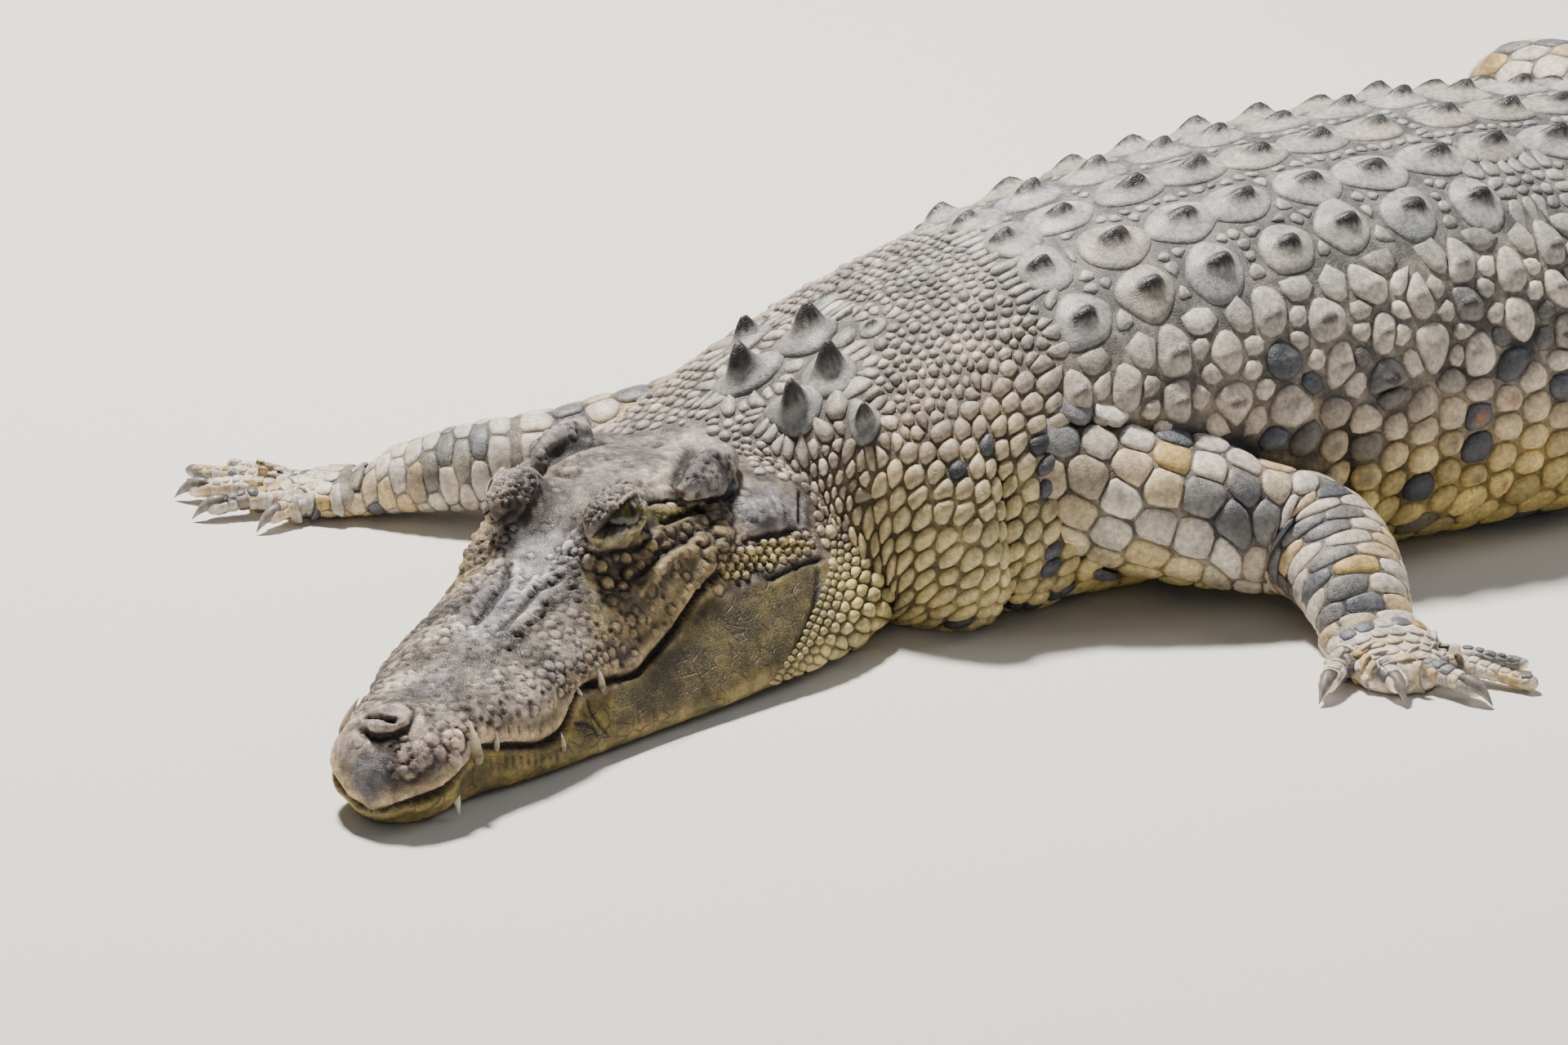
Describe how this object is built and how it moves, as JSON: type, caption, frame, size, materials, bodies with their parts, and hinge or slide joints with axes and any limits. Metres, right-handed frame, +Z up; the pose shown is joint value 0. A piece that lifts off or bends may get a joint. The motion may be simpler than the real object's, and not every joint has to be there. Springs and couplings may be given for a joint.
{
  "type": "saltwater crocodile model",
  "caption": "Still, life-size saltwater crocodile lying flat with its head turned to its left, legs spread and tail in a loose bend.",
  "frame": {"origin": "the middle of the footprint on the ground that the animal lies on", "axes": "+Y from the head to the tail along the trunk, +X towards the animal's left side, +Z up"},
  "size_m": [1.3432, 3.155, 0.318],
  "materials": {
    "hide": "dry, dusty scales, grey-brown over the head and blue-grey over the back",
    "underside": "smooth yellow-olive skin with fine cracks",
    "tail": "dry scales in rings, grey above and yellow with black patches on the sides",
    "limb": "smooth pale yellow scales with slate-blue patches",
    "claw": "dull horn, worn pale at the tip",
    "eye": "wet olive-green iris with a slit pupil"
  },
  "bodies": {
    "root": {"head_upper": "hide", "lower_jaw": "underside", "eye_left": "eye", "eye_right": "eye", "neck": "hide", "trunk_front": "hide", "trunk_rear": "hide", "tail_1": "tail", "tail_2": "tail", "tail_3": "tail", "tail_4": "tail", "upper_arm_left": "limb", "forearm_left": "limb", "hand_left": "limb", "claw_hand_left_1": "claw", "claw_hand_left_2": "claw", "claw_hand_left_3": "claw", "upper_arm_right": "limb", "forearm_right": "limb", "hand_right": "limb", "claw_hand_right_1": "claw", "claw_hand_right_2": "claw", "claw_hand_right_3": "claw", "thigh_left": "limb", "shank_left": "limb", "foot_left": "limb", "claw_foot_left_1": "claw", "claw_foot_left_2": "claw", "claw_foot_left_3": "claw", "thigh_right": "limb", "shank_right": "limb", "foot_right": "limb", "claw_foot_right_1": "claw", "claw_foot_right_2": "claw", "claw_foot_right_3": "claw"}
  },
  "joints": []
}
